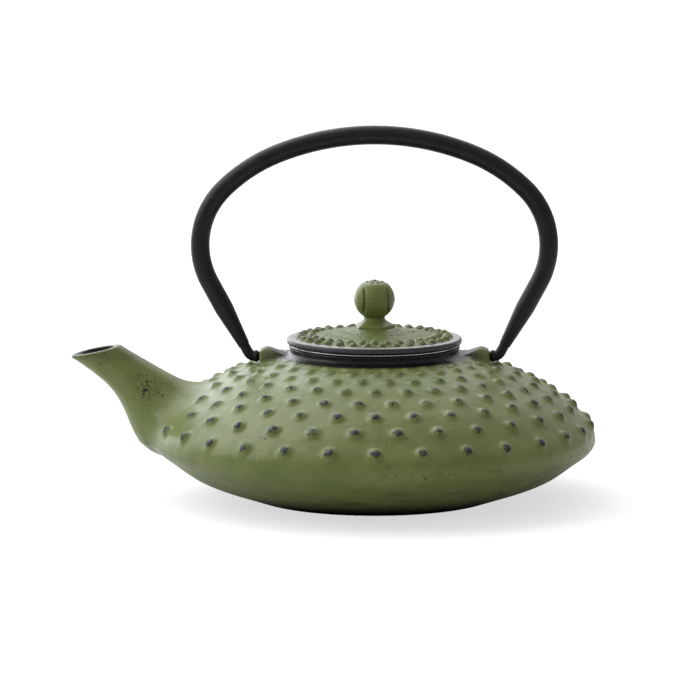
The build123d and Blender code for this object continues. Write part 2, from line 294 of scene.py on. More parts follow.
def enamel_colour(m, grit, streaks, low):
    """Mottled moss green, with deeper patches and grit, and sooty streaks near the foot."""
    colour = m.mix(m.ramp(m.noise(38, 5.0), 0.35, 0.68), GREEN, GREEN_PALE)
    patches = m.ramp(m.noise(120, 3.0), 0.40, 0.66)
    colour = m.mix(m.maths("MULTIPLY", patches, 0.45), colour, GREEN_DEEP)
    colour = m.mix(m.ramp(grit, 0.60, 0.75, 0.0, 0.35), colour, GREEN_DEEP)
    lines = m.maths("MULTIPLY", m.ramp(streaks, 0.54, 0.66), low)
    return m.mix(m.maths("MULTIPLY", lines, 0.6), colour, GREEN_SOOTY)


def metal_colour(m, painted, wear):
    """Bare iron: dark in the cracks at the edge of a chip, pale where it is rubbed most."""
    cracks = m.ramp(m.noise(1400, 3.0, 0.7), 0.40, 0.56)
    cracks = m.maths("MAXIMUM", cracks, m.ramp(painted, *METAL_CLEAN))
    colour = m.mix(m.maths("MULTIPLY", m.ramp(wear, 0.52, 0.80), cracks), IRON_DARK, IRON)
    return m.mix(m.ramp(wear, *METAL_PALE), colour, IRON_WORN)


def casting_bump(m, grit, streaks, low, rubbed):
    """Uneven skin of the casting, streaks near the foot, grit, stipple and the edges of the chips."""
    surface = m.bump(m.noise(300, 5.0, 0.6), CASTING_DEPTH)
    surface = m.bump(m.maths("MULTIPLY", streaks, low), STREAK_DEPTH, surface)
    surface = m.bump(grit, GRIT_DEPTH, surface)
    surface = m.bump(m.dots(1150, m.attribute("stipple")), STIPPLE_DEPTH, surface)
    return m.bump(m.maths("SUBTRACT", 1.0, rubbed), CHIP_DEPTH, surface)


def glazed_iron():
    """Moss-green enamel on cast iron, chipped off where "wear" says; black where "dark" says, which also
    holds painted shade at the foot, between the lid's studs and in the knob's grooves.
    """
    m = Nodes("glazed_iron")
    grit = m.noise(900, 3.0, 0.7)
    streaks = m.noise(420, 4.0, 0.65, (0.14, 0.14, 1))
    low = m.ramp(m.height(), *STREAK_FADE, 1.0, 0.0)
    chips = m.ramp(m.noise(850, 5.0, 0.70), 0.28, 0.72, -CHIP_SPREAD, CHIP_SPREAD)
    painted = m.attribute("wear")
    wear = m.maths("ADD", painted, chips)
    rubbed = m.ramp(wear, *CHIP_EDGE)
    flecks = m.ramp(m.noise(505, 2.0, 0.5), 0.725, 0.755)
    colour = enamel_colour(m, grit, streaks, low)
    colour = m.mix(m.maths("MAXIMUM", rubbed, flecks), colour, metal_colour(m, painted, wear))
    dark = m.attribute("dark")
    # dark holds black paint in some places and painted shade in others; the chips' noise makes its edge
    # ragged
    black_and_shade = m.maths("ADD", dark, m.maths("MULTIPLY", chips, 0.25))
    colour = m.mix(m.ramp(black_and_shade, 0.0, 1.0), colour, BLACK)
    rough = m.ramp(m.noise(210, 4.0), *MIDDLE, 0.29, 0.39)
    rough = m.maths("SUBTRACT", rough, m.ramp(dark, *BLACKENED, 0.0, 0.08))
    gloss = m.ramp(m.height(), *GLOSS_RISE, 0.02, 0.34)
    gloss = m.maths("SUBTRACT", gloss, m.ramp(dark, *BLACKENED, 0.0, 0.12))
    surface = casting_bump(m, grit, streaks, low, rubbed)
    metallic = m.maths("MULTIPLY", rubbed, 0.5)
    return m.finish(Base_Color=colour, Roughness=rough, Normal=surface, Metallic=metallic,
                    Specular_IOR_Level=gloss)


def black_satin():
    """Black satin stove paint on the bail."""
    m = Nodes("black_satin")
    colour = m.mix(m.ramp(m.noise(160, 4.0), *MIDDLE), PAINT_DARK, PAINT_PALE)
    rough = m.ramp(m.noise(420, 4.0), *MIDDLE, 0.36, 0.46)
    surface = m.bump(m.noise(700, 3.0), 0.05 * MM)
    return m.finish(Base_Color=colour, Roughness=rough, Normal=surface, Specular_IOR_Level=0.25)


def steel(name, roughness, stretch):
    """Bright steel with fine marks drawn out one way."""
    m = Nodes(name)
    marks = m.noise(1400, 3.0, 0.6, stretch)
    colour = m.mix(m.ramp(marks, *MIDDLE), STEEL_DULL, STEEL_BRIGHT)
    rough = m.ramp(marks, *MIDDLE, roughness, roughness + 0.12)
    surface = m.bump(marks, 0.02 * MM)
    return m.finish(Base_Color=colour, Roughness=rough, Normal=surface, Metallic=1.0)


# ---------------------------------------------------------------- pot casting

POT_VOXEL = 0.6 * MM
NAILS_PER_RING = 30
NAIL_PITCH = 360 / NAILS_PER_RING
FIRST_NAIL = 0.2                  # degrees to the right of the -Y direction, outermost ring
# radius of each ring's centres, height of its nails, radius of their tips, how far they are rubbed bare
NAIL_RINGS = [(86.4, 1.9, 2.5, 1.00), (79.5, 1.9, 2.5, 0.94), (72.1, 1.7, 2.4, 0.88),
              (64.7, 1.6, 2.2, 0.74), (57.1, 1.5, 2.0, 0.60), (50.0, 1.4, 1.8, 0.50),
              (43.5, 1.2, 1.6, 0.42), (38.9, 0.8, 1.4, 0.25)]
NAIL_BLEND = 1.8 * MM
NAIL_WOBBLE = 0.15 * MM
CLEAR_SURFACE = 0.35 * MM         # a nail is left out where the smooth dome is buried deeper than this
HEIGHT_SPREAD = 0.06              # of the nails and of the lid's studs, as a share of their height
BARE_SPREAD = (0.72, 1.18)        # least and greatest share of its ring's rubbing that a nail gets
BAREST = 0.95
BARE_REACH = 2.8 * MM             # distance from a nail's tip at which the rubbing ends


def dome_height(field, radius):
    """Height of the outer surface at a distance from the axis, measured away from ears and spout."""
    heights = np.linspace(field.axes[2][0], field.axes[2][-1], 8 * len(field.axes[2]))
    line = np.stack([np.zeros_like(heights), np.full_like(heights, radius), heights], axis=1)
    return heights[np.nonzero(field.sample(line) < 0)[0].max()]


def add_nails(field):
    """Staggered rings of hobnails on the dome, left out where the spout's flare or an ear is in the way.

    Returns the tip of each nail and how far it is rubbed.
    """
    nails = []
    for ring, (radius, height, tip, bare) in enumerate(NAIL_RINGS):
        radius, height, tip = np.array((radius, height, tip)) * MM
        level = dome_height(field, radius)
        rise = dome_height(field, radius + 2 * MM) - dome_height(field, radius - 2 * MM)
        lean = Vector((-rise, 4 * MM)).normalized()
        for k in range(NAILS_PER_RING):
            azimuth = math.radians(FIRST_NAIL + NAIL_PITCH * (k + 0.5 * (ring % 2)))
            away = Vector((math.sin(azimuth), -math.cos(azimuth), 0))
            normal = away * lean.x + Vector((0, 0, lean.y))
            foot = away * radius + Vector((0, 0, level))
            own_height = height * random.normal(1, HEIGHT_SPREAD)
            own_bare = bare * random.uniform(*BARE_SPREAD)
            nails.append((foot, normal, own_height, tip, own_bare))
    buried = field.sample(np.array([foot for foot, *_ in nails])) < -CLEAR_SURFACE
    tips = []
    for (foot, normal, height, tip, bare), hidden in zip(nails, buried):
        if not hidden:
            foot = foot + Vector(random.normal(0, NAIL_WOBBLE, 3))
            field.add_dome(foot + normal * (height - tip), tip, NAIL_BLEND)
            tips.append((foot + normal * height, min(bare, BAREST)))
    return tips


def nail_wear(points, tips):
    """Wear of the hobnails at points: most at a tip, none at BARE_REACH from it."""
    wear = np.zeros(len(points))
    for tip, bare in tips:
        near = np.nonzero(np.abs(points - np.array(tip)).max(axis=1) < BARE_REACH)[0]
        gap = np.linalg.norm(points[near] - np.array(tip), axis=1)
        wear[near] = np.maximum(wear[near], bare * (1 - np.clip(gap / BARE_REACH, 0, 1) ** 2))
    return wear


# collar as cast: a rounded lip, a shallow neck, and a flare onto the shoulder (height, radius)
COLLAR_PROFILE = [(56.0, 41.5), (56.6, 39.4), (57.0, 37.9), (57.5, 36.2), (58.2, 34.7), (59.0, 33.9),
                  (59.8, 34.0), (60.6, 34.4), (61.3, 34.4)]
COLLAR_SLOPE = 0.8                # share of the sideways distance that is the distance to its sloping side
COLLAR_REACH = 41 * MM
COLLAR_LEVELS = (56 * MM, 64 * MM)
COLLAR_BLACK = ([36.0 * MM, 38.8 * MM], [1.15, 0])     # distance from the axis, darkness
EAR_HALF_WIDTH = 6.3 * MM
EAR_TOP = [(33.0, 56.9), (43.0, 61.1), (46.2, 59.6)]   # distance from the axis, height
EAR_ALONG = (34 * MM, 49 * MM)    # part of the grid that holds an ear, from the axis outwards
EAR_ACROSS = 9 * MM
EAR_LEVELS = (50 * MM, 63 * MM)
EAR_START = ([54 * MM, 57 * MM], [0, 1])               # height, share of the ears' black
EAR_BLACK = ([36 * MM, 46 * MM], [0.9, 0.3])           # distance from the axis, darkness
# painted shade: the enamel is darkened towards the floor, near the contact
FOOT_SHADE = ([0.8 * MM, 9 * MM], [0.9, 0])            # height, darkness
PARTING_HEIGHT = 22.7 * MM
PARTING_WIDTH = 0.8 * MM
PARTING_RISE = 0.3 * MM
PARTING_START = 87 * MM           # from the axis: the ridge is on the outside only
PARTING_WINDOW = Vector((95.0, 95.0, 8.3)) * MM        # half size of the part of the grid that holds it
FLASH_START = 80 * MM
FLASH_WEAR = 0.29
FLASH_SWING = 0.08                # how far its wear comes and goes round the pot
PITTED_SPOT = Vector((-90.0, -9.0, 45.6)) * MM         # rough patch on the front of the spout
PITTED_REACH = 8.5 * MM
PITTED_WEAR = 0.41


def shape_collar(field):
    """Turn the neck under the lid's edge down to its profile, and leave the ears standing."""
    half = COLLAR_REACH + MM
    ranges, (x, y, z) = field.window((-half, -half, COLLAR_LEVELS[0]), (half, half, COLLAR_LEVELS[1]))
    heights, radii = np.array(COLLAR_PROFILE).T * MM
    reach = np.hypot(x, y)
    block = field.values[ranges]
    cut = np.maximum(block, COLLAR_SLOPE * (reach - np.interp(z, heights, radii)))
    places, tops = np.array(EAR_TOP).T * MM
    ear = np.maximum(z - np.interp(np.abs(x), places, tops), np.abs(y) - EAR_HALF_WIDTH)
    ears_kept = np.minimum(cut, np.maximum(block, ear))
    field.values[ranges] = np.where(reach < COLLAR_REACH, ears_kept, block)


def soften_ears(field):
    """Round the edges of both ears a little."""
    for side in (-1, 1):
        start, end = sorted((side * EAR_ALONG[0], side * EAR_ALONG[1]))
        field.soften((start, -EAR_ACROSS, EAR_LEVELS[0]), (end, EAR_ACROSS, EAR_LEVELS[1]), 1)


def add_parting_line(field):
    """Faint ridge round the widest part, where the two halves of the mould met."""
    middle = Vector((0, 0, PARTING_HEIGHT))
    ranges, (x, y, z) = field.window(middle - PARTING_WINDOW, middle + PARTING_WINDOW)
    azimuth = np.arctan2(y, x)
    strength = 0.65 + 0.35 * np.sin(5 * azimuth) * np.sin(11 * azimuth + 1)
    ridge = np.exp(-((z - PARTING_HEIGHT) / PARTING_WIDTH) ** 2) * strength * PARTING_RISE
    outer = np.hypot(x, y) > PARTING_START
    field.values[ranges] -= (ridge * outer).astype(np.float32)


SPOUT_CORE = [(-60, 26), (-82, 33), (-92.8, 43.4), (-105.6, 54.5), (-124, 66)]   # line inside the spout, mm
CORE_RADIUS = 45 * MM             # ring round which the hollow body is wrapped
CORE_HEIGHT = 28 * MM
SPOUT_START = -84 * MM            # beyond this the inside is told from the spout's line


def faces_spout_core(points, facing):
    """True for vertices that face the line inside the spout."""
    line = np.array(SPOUT_CORE) * MM
    nearest = np.full(len(points), np.inf)
    inward = np.zeros(len(points), bool)
    for start, end in zip(line[:-1], line[1:]):
        flat = points[:, [0, 2]] - start
        along = np.clip((flat @ (end - start)) / ((end - start) @ (end - start)), 0, 1)
        away = flat - along[:, None] * (end - start)
        offset = np.stack([away[:, 0], points[:, 1], away[:, 1]], axis=1)
        gap = np.linalg.norm(offset, axis=1)
        closer = gap < nearest
        nearest = np.where(closer, gap, nearest)
        inward = np.where(closer, (offset * facing).sum(1) < 0, inward)
    return inward


def faces_inwards(piece):
    """1 for vertices on the inside of body, throat and spout, which is black, else 0."""
    points = positions(piece)
    facing = normals(piece)
    reach = np.hypot(points[:, 0], points[:, 1])
    shrink = np.minimum(CORE_RADIUS / np.maximum(reach, MM), 1)
    core = points * np.stack([shrink, shrink, np.zeros(len(points))], axis=1)
    core[:, 2] = CORE_HEIGHT
    inward = ((points - core) * facing).sum(1) < 0
    wall_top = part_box("infuser_wall")[1]
    throat = reach < wall_top.x + 1.2 * MM
    inward = np.where(points[:, 2] > wall_top.z - 3 * MM, throat, inward)
    on_spout = (points[:, 0] < SPOUT_START) & (points[:, 2] > CORE_HEIGHT)
    return np.where(on_spout, faces_spout_core(points, facing), inward).astype(float)


def pot_wear(points, tips):
    """Wear of the pot: the nails' tips, the pits on the spout and spots of flash on the parting line."""
    from_spot = np.linalg.norm(points - np.array(PITTED_SPOT), axis=1)
    pitted = PITTED_WEAR * np.exp(-(from_spot / PITTED_REACH) ** 2)
    azimuth = np.arctan2(points[:, 0], -points[:, 1])
    outer = np.hypot(points[:, 0], points[:, 1]) > FLASH_START
    flash = (FLASH_WEAR + FLASH_SWING * np.sin(4 * azimuth)) * outer
    flash = flash * np.exp(-((points[:, 2] - PARTING_HEIGHT) / PARTING_WIDTH) ** 2)
    return np.maximum.reduce([nail_wear(points, tips), pitted, flash])


def pot_black_and_shade(piece):
    """Black of the pot: its inside, the collar and the ears from their roots outwards, and painted shade
    darkening the foot.
    """
    points = positions(piece)
    reach = np.hypot(points[:, 0], points[:, 1])
    collar = np.interp(reach, *COLLAR_BLACK) * (points[:, 2] > EAR_LEVELS[0])
    # painted shade, darker towards the floor
    foot = np.interp(points[:, 2], *FOOT_SHADE)
    on_ear = (np.abs(points[:, 1]) < EAR_ACROSS) * np.interp(points[:, 2], *EAR_START)
    ears = on_ear * np.interp(reach, *EAR_BLACK)
    return np.maximum.reduce([faces_inwards(piece), collar, foot, ears])


def make_pot(material):
    """Body, spout, collar and ears, with hobnails, softened ears and a faint parting line."""
    field = Field("pot_body", POT_VOXEL)
    shape_collar(field)
    soften_ears(field)
    add_parting_line(field)
    tips = add_nails(field)
    piece = field.mesh("pot_casting", adaptivity=0.02)
    paint(piece, "wear", pot_wear(positions(piece), tips))
    paint(piece, "dark", pot_black_and_shade(piece))
    piece.data.materials.append(material)
    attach(piece, "pot")
    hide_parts("pot_body")


# ---------------------------------------------------------------- lid and knob

LID_VOXEL = 0.35 * MM
STUD_RINGS = [(29.4, 0.5), (25.4, 0.0)]   # radius of each ring, and its stagger in pitches
STUDS_PER_RING = 32
STUD_TIP = 1.9 * MM
STUD_HEIGHT = 1.6 * MM
STUD_BLEND = 0.6 * MM
VENT_PLACE = 15.7 * MM            # of the steam vent along +X
CONE_RADIUS = 23.4 * MM           # the cone inside the studs stands up by a small step
CONE_STEP = 0.35 * MM
CONE_EDGE = 0.8 * MM              # width of that step
STUDDED_BAND = (27.4 * MM, 3.6 * MM)                      # its middle radius, and half its width
# painted shade in the low ground between the lid's studs
STUD_GAP_SHADE = 0.28              # darkness between the studs
SKIRT_REACH = 31 * MM             # the lid's hollow underside lies within this radius
WORN_RIM = ([30.9 * MM, 31.8 * MM, 34.4 * MM, 34.8 * MM], [0, 2.05, 2.05, 1.05])   # radius, wear
RIM_BLACK = ([34.3 * MM, 34.9 * MM], [0, 0.35])           # radius, darkness
VENT_BLACK = ([1.2 * MM, 2.0 * MM], [0.9, 0])             # distance from the vent, darkness
STIPPLED = ([9 * MM, 11 * MM, 22 * MM, 23 * MM], [0, 1, 1, 0])   # radius, strength of the stipple


def add_studs(field):
    """Raised cone, and two staggered rings of studs round it."""
    x, y, z = field.coordinates()
    inside = np.clip((CONE_RADIUS - np.hypot(x, y)) / CONE_EDGE + 0.5, 0, 1)
    top_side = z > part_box("infuser_rim")[1].z + 2 * MM
    field.values -= (inside * top_side * CONE_STEP).astype(np.float32)
    for radius, stagger in STUD_RINGS:
        level = dome_height(field, radius * MM)
        for k in range(STUDS_PER_RING):
            azimuth = math.tau * (k + stagger) / STUDS_PER_RING
            foot = Vector((math.sin(azimuth), -math.cos(azimuth), 0)) * radius * MM
            foot.z = level + STUD_HEIGHT * random.normal(1, HEIGHT_SPREAD) - STUD_TIP
            field.add_dome(foot, STUD_TIP, STUD_BLEND)


def make_lid(material):
    """Lid with its studs and painted shade between them; the plain rim is rubbed to pale metal on top and to
    dull metal at the side.
    """
    field = Field("lid", LID_VOXEL)
    smooth = Field("lid", LID_VOXEL)
    add_studs(field)
    piece = field.mesh("lid_casting", adaptivity=0.01)
    points = positions(piece)
    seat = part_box("infuser_rim")[1].z
    reach = np.hypot(points[:, 0], points[:, 1])
    rise = np.clip(smooth.sample(points) / STUD_HEIGHT, 0, 1)
    middle, half = STUDDED_BAND
    # painted shade: darker where the surface lies low between the studs
    between = STUD_GAP_SHADE * (1 - rise) * (np.abs(reach - middle) < half)
    faces_down = normals(piece)[:, 2] < -0.3
    under = (points[:, 2] < seat + 0.4 * MM) | ((reach < SKIRT_REACH) & faces_down)
    vent = np.interp(np.hypot(points[:, 0] - VENT_PLACE, points[:, 1]), *VENT_BLACK)
    paint(piece, "wear", np.maximum(0.5 * rise, np.interp(reach, *WORN_RIM)))
    paint(piece, "dark", np.maximum.reduce([np.interp(reach, *RIM_BLACK), under, between, vent]))
    paint(piece, "stipple", np.interp(reach, *STIPPLED) * ~under)
    piece.data.materials.append(material)
    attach(piece, "lid")
    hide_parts("lid")


KNOB_VOXEL = 0.2 * MM
PANELS = 5
FRONT_PANEL = math.radians(6.4)   # middle of the first panel, to the right of the -Y direction
# panel that laps over its neighbour at each groove, and on which side
PANEL_EDGES = [(0, -1), (0, 1), (2, -1), (2, 1), (4, -1)]
GROOVE_OFFSET = 4.7 * MM          # of a groove from the middle of its panel
GROOVE_WIDTH = 0.4 * MM
GROOVE_DEPTH = 0.7 * MM
GROOVE_REACH = 5.2 * MM           # above and below the ball's centre
GROOVE_FADE = 1.5 * MM            # length over which a groove runs out at its ends
BALL_CENTRE = 80.1 * MM
SEAM_HEIGHT = BALL_CENTRE - 0.4 * MM
SEAM_WIDTH = 0.35 * MM
SEAM_RISE = 0.14 * MM
SEAM_START = 5 * MM               # from the axis: the seam is on the outside only, not in the screw's hole
PETALS = 8
PETAL_RING = 3.1 * MM
PETAL_TIP = 1.25 * MM
PETAL_BLEND = 0.5 * MM
FIRST_CORNER = math.radians(24)   # of the five-sided foot
NECK_FOOT = 72.9 * MM             # where the foot ends and the neck begins
FOOT_JOIN = 0.6 * MM              # height over which the one turns into the other
CAP_SLOPE = 0.27                  # of the cap under the petals, from CAP_HEIGHT at CAP_RADIUS
CAP_HEIGHT = 87.5 * MM
CAP_RADIUS = 1.3 * MM
CAP_WEAR = ([BALL_CENTRE + 6.6 * MM, BALL_CENTRE + 7.9 * MM], [0, 0.9])   # height, wear
BUD_SLOPE = 0.75
BUD_TIP = 88.2 * MM
BUD_RADIUS = 1.5 * MM
PETAL_HEIGHT = 86.1 * MM
SCREW_HOLE = 1.9 * MM
ROUNDING_LEVELS = (69.4 * MM, 71.8 * MM)   # between these heights the five-sided foot turns round
ROUNDED_CORNERS = 0.2
FOOT_HALF = 10 * MM               # part of the grid that is rounded over, with the levels below
FOOT_LEVELS = (68.4 * MM, 74 * MM)
FOOT_PASSES = 12
FLANK_SLOPE = 0.85                # share of the sideways distance that is the distance to its sloping side
FOOT_PROFILE = [(68.2, 7.3), (69.6, 7.3), (69.9, 6.7), (70.6, 5.6), (71.5, 4.6), (72.9, 3.95)]


def knob_foot(x, y, z):
    """Distance to the foot: five-sided below, round where it meets the neck."""
    reach = np.hypot(x, y)
    azimuth = np.arctan2(x, -y)
    step = math.tau / PANELS
    from_side = (azimuth - FIRST_CORNER) % step - step / 2
    heights, radii = np.array(FOOT_PROFILE).T * MM
    start, end = ROUNDING_LEVELS
    roundness = np.clip((z - start) / (end - start), ROUNDED_CORNERS, 1)
    across = reach * np.cos(from_side) * (1 - roundness) + reach * roundness
    foot = FLANK_SLOPE * (across - np.interp(z, heights, radii))
    return np.maximum(np.maximum(foot, heights[0] - z), SCREW_HOLE - reach)


def panel_grooves(x, y, z):
    """Straight upright grooves beside the ball's panels, from 0 to 1, running out towards the poles."""
    total = 0.0
    for panel, side in PANEL_EDGES:
        turn = FRONT_PANEL + panel * math.tau / PANELS
        sideways = x * math.cos(turn) + y * math.sin(turn)
        outward = x * math.sin(turn) - y * math.cos(turn)
        line = np.exp(-((sideways - side * GROOVE_OFFSET) / GROOVE_WIDTH) ** 2)
        total = np.maximum(total, line * (outward > 0))
    return total * np.clip((GROOVE_REACH - np.abs(z - BALL_CENTRE)) / GROOVE_FADE, 0, 1)


def knob_top(reach):
    """Height of the knob's top: a gently sloping cap, with a pointed bud in its middle."""
    cap = CAP_HEIGHT - CAP_SLOPE * (reach - CAP_RADIUS)
    return np.where(reach < BUD_RADIUS, BUD_TIP - BUD_SLOPE * reach, cap)


def make_knob(material):
    """Knob with a panelled ball, a cap of petals round a bud, and a five-sided foot."""
    field = Field("knob", KNOB_VOXEL, margin=2 * MM)
    x, y, z = field.coordinates()
    reach = np.hypot(x, y)
    above = np.clip((z - NECK_FOOT) / FOOT_JOIN + 1, 0, 1)
    field.values = (field.values * above + knob_foot(x, y, z) * (1 - above)).astype(np.float32)
    seam = np.exp(-((z - SEAM_HEIGHT) / SEAM_WIDTH) ** 2) * SEAM_RISE
    relief = panel_grooves(x, y, z) * GROOVE_DEPTH - seam * (reach > SEAM_START)
    field.values = np.maximum(field.values + relief, z - knob_top(reach)).astype(np.float32)
    for k in range(PETALS):
        azimuth = math.tau * (k + 0.5) / PETALS
        centre = (math.sin(azimuth) * PETAL_RING, -math.cos(azimuth) * PETAL_RING, PETAL_HEIGHT)
        field.add_dome(centre, PETAL_TIP, PETAL_BLEND)
    low, high = FOOT_LEVELS
    field.soften((-FOOT_HALF, -FOOT_HALF, low), (FOOT_HALF, FOOT_HALF, high), FOOT_PASSES)
    piece = field.mesh("knob_casting", adaptivity=0.01)
    points = positions(piece)
    paint(piece, "wear", np.interp(points[:, 2], *CAP_WEAR))
    # painted shade: the grooves are darkened in colour
    paint(piece, "dark", 0.4 * panel_grooves(*points.T))
    piece.data.materials.append(material)
    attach(piece, "lid")
    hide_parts("knob")


# ---------------------------------------------------------------- bail

HOOK_VOXEL = 0.16 * MM
EAR_FACE = 46.2 * MM
PIVOT_HEIGHT = 57.0 * MM
BOSS_RADIUS = 1.9 * MM            # thick part of the pin, between the hook and the ear
BOSS_LENGTH = 1.2 * MM
BOSS_GAP = 0.15 * MM
BOSS_BLEND = 0.8 * MM
HOOK_PASSES = 6


def add_boss(field):
    """Thicken the pin where it shows between the hook and the ear."""
    x, y, z = field.coordinates()
    middle = EAR_FACE + BOSS_GAP + BOSS_LENGTH / 2
    side = np.hypot(y, z - PIVOT_HEIGHT) - BOSS_RADIUS
    ends = np.abs(np.abs(x) - middle) - BOSS_LENGTH / 2
    field.values = soft_minimum(field.values, np.maximum(side, ends), BOSS_BLEND).astype(np.float32)


def make_hooks(material):
    """Bent hooks of the bail, with their turned shoulders rounded over."""
    for node in ("bail_hook_back_side", "bail_hook_spout_side"):
        field = Field(node, HOOK_VOXEL, margin=1 * MM)
        low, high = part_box(node)
        field.soften(low - Vector((MM, MM, MM)), high + Vector((MM, MM, MM)), HOOK_PASSES)
        add_boss(field)
        piece = field.mesh(node.replace("hook", "bent_hook"), adaptivity=0.005)
        piece.data.materials.append(material)
        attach(piece, "bail")
        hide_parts(node)


# ---------------------------------------------------------------- strainer

LATHE_STEPS = 192
WIRE = 0.30 * MM
WALL_WIRES = 154                  # upright wires round the basket
WEAVE_PITCH = 1.2 * MM
ROLL_STEPS = 10
ROLL_RADIUS = 0.4 * MM            # of the flange's rolled edge
MOUTH_ROUNDING = 0.45 * MM        # where the flange turns down into the cuff
HOOP_SHEET = 0.25 * MM


def lathe(name, profile, material):
    """Closed ring turned from a closed outline of (radius, height) points."""
    outline = np.array(profile)
    turns = np.arange(LATHE_STEPS) * math.tau / LATHE_STEPS
    count = len(outline)
    points = np.stack([np.outer(np.cos(turns), outline[:, 0]), np.outer(np.sin(turns), outline[:, 0]),
                       np.tile(outline[:, 1], (LATHE_STEPS, 1))], axis=2).reshape(-1, 3)
    faces = []
    for i in range(LATHE_STEPS):
        here, after = i * count, (i + 1) % LATHE_STEPS * count
        for j in range(count):
            k = (j + 1) % count
            faces.append((here + j, after + j, after + k, here + k))
    mesh = bpy.data.meshes.new(name)
    mesh.from_pydata(points.tolist(), [], faces)
    mesh.materials.append(material)
    return new_object(name, mesh)


def arc(centre, radius, start, end, steps=ROLL_STEPS):
    """Points of an arc in an outline, angles in degrees from the outward direction."""
    angles = np.radians(np.linspace(start, end, steps))
    return [(centre[0] + radius * math.cos(a), centre[1] + radius * math.sin(a)) for a in angles]


def wires(name, paths, closed, material):
    """Mesh of square wires along paths of points, with their corners turned to the sides."""
    points = []
    faces = []
    for path, sideways in paths:
        path = np.asarray(path)
        along = np.roll(path, -1, axis=0) - np.roll(path, 1, axis=0)
        if not closed:
            along[0] = path[1] - path[0]
            along[-1] = path[-1] - path[-2]
        across = np.cross(along, sideways)
        across /= np.linalg.norm(across, axis=1, keepdims=True)
        first = len(points)
        for side in (sideways, across, -sideways, -across):
            points.extend((path + side * WIRE / 2).tolist())
        count = len(path)
        for i in range(count if closed else count - 1):
            after = (i + 1) % count
            for corner in range(4):
                a, b = first + corner * count, first + (corner + 1) % 4 * count
                faces.append((a + i, a + after, b + after, b + i))
    mesh = bpy.data.meshes.new(name)
    mesh.from_pydata(points, [], faces)
    mesh.materials.append(material)
    return new_object(name, mesh)


def basket_wires(radius, low, high):
    """Upright and round wires of the basket wall, woven over and under each other."""
    levels = np.linspace(low, high, round((high - low) / WEAVE_PITCH) + 1)
    turns = np.arange(WALL_WIRES) * math.tau / WALL_WIRES
    outward = np.stack([np.cos(turns), np.sin(turns), np.zeros(WALL_WIRES)], axis=1)
    uprights = []
    for k, out in enumerate(outward):
        sway = np.where((np.arange(len(levels)) + k) % 2, 0.5, -0.5) * WIRE
        path = out * (radius + sway)[:, None]
        path[:, 2] = levels
        uprights.append((path, np.tile(out, (len(levels), 1))))
    hoops = []
    for j, level in enumerate(levels[1:-1], 1):
        sway = np.where((j + np.arange(WALL_WIRES)) % 2, -0.5, 0.5) * WIRE
        path = outward * (radius + sway)[:, None]
        path[:, 2] = level
        hoops.append((path, outward))
    return uprights, hoops


def base_wires(radius, level):
    """Straight wires of the basket's bottom, woven both ways."""
    places = np.arange(-math.floor(radius / WEAVE_PITCH), math.floor(radius / WEAVE_PITCH) + 1)
    up = np.array((0.0, 0.0, 1.0))
    paths = []
    for turned in (False, True):
        for i in places:
            offset = i * WEAVE_PITCH
            reach = math.sqrt(max(radius ** 2 - offset ** 2, 0))
            crossings = places[np.abs(places * WEAVE_PITCH) <= reach]
            if len(crossings) < 2:
                continue
            sway = np.where((crossings + i + turned) % 2, 0.5, -0.5) * WIRE
            run = np.array([crossings * WEAVE_PITCH, np.full(len(crossings), offset), level + sway]).T
            path = run[:, [1, 0, 2]] if turned else run
            paths.append((path, np.tile(up, (len(path), 1))))
    return paths


def flange_outline(low, high, basket):
    """Outline of the cuff and the rolled flange above it, as (radius, height) points."""
    top = high.z - 0.25 * MM
    under = high.z - 2 * ROLL_RADIUS
    outline = [(basket - 2 * WIRE, low.z), (basket, low.z), (basket, under - 0.3 * MM),
               (basket + 0.3 * MM, under), (high.x - 1.4 * MM, under)]
    outline += arc((high.x - ROLL_RADIUS, high.z - ROLL_RADIUS), ROLL_RADIUS, -90, 130)
    outline += [(high.x - 1.7 * MM, top), (basket + 0.5 * MM, top)]
    outline += arc((basket - 2 * WIRE + MOUTH_ROUNDING, top - MOUTH_ROUNDING), MOUTH_ROUNDING, 90, 180, 6)
    return outline


def hoop_outline(low, high, basket):
    """Outline of the crimped hoop round the bottom of the basket, as (radius, height) points."""
    inner = high.x - 2.5 * MM
    bottom = low.z + HOOP_SHEET
    return [(inner, low.z), (high.x - 0.3 * MM, low.z), (high.x, low.z + 0.3 * MM), (high.x, high.z),
            (basket, high.z), (basket, bottom), (inner, bottom)]


def make_strainer(polished, woven):
    """Rolled flange, cuff, woven basket and crimped bottom hoop."""
    wall_low, wall_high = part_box("infuser_wall")
    basket = wall_high.x
    middle = basket - WIRE
    uprights, hoops = basket_wires(middle, wall_low.z + WIRE, wall_high.z + WIRE)
    bottom = base_wires(middle - WIRE, wall_low.z + WIRE)
    pieces = [
        (lathe("strainer_flange", flange_outline(*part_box("infuser_rim"), basket), polished), "infuser_rim"),
        (lathe("strainer_hoop", hoop_outline(*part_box("infuser_ring"), basket), polished), "infuser_ring"),
        (wires("strainer_uprights", uprights, False, woven), "infuser_wall"),
        (wires("strainer_hoops", hoops, True, woven), "infuser_wall"),
        (wires("strainer_base", bottom, False, woven), "infuser_base")]
    for piece, node in pieces:
        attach(piece, "infuser")
        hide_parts(node)


# ---------------------------------------------------------------- stage

FLOOR_GREY = (0.38, 0.38, 0.38, 1)
FLOOR_GLOW = 0.64
BOUNCE_GREY = (0.75, 0.75, 0.75, 1)


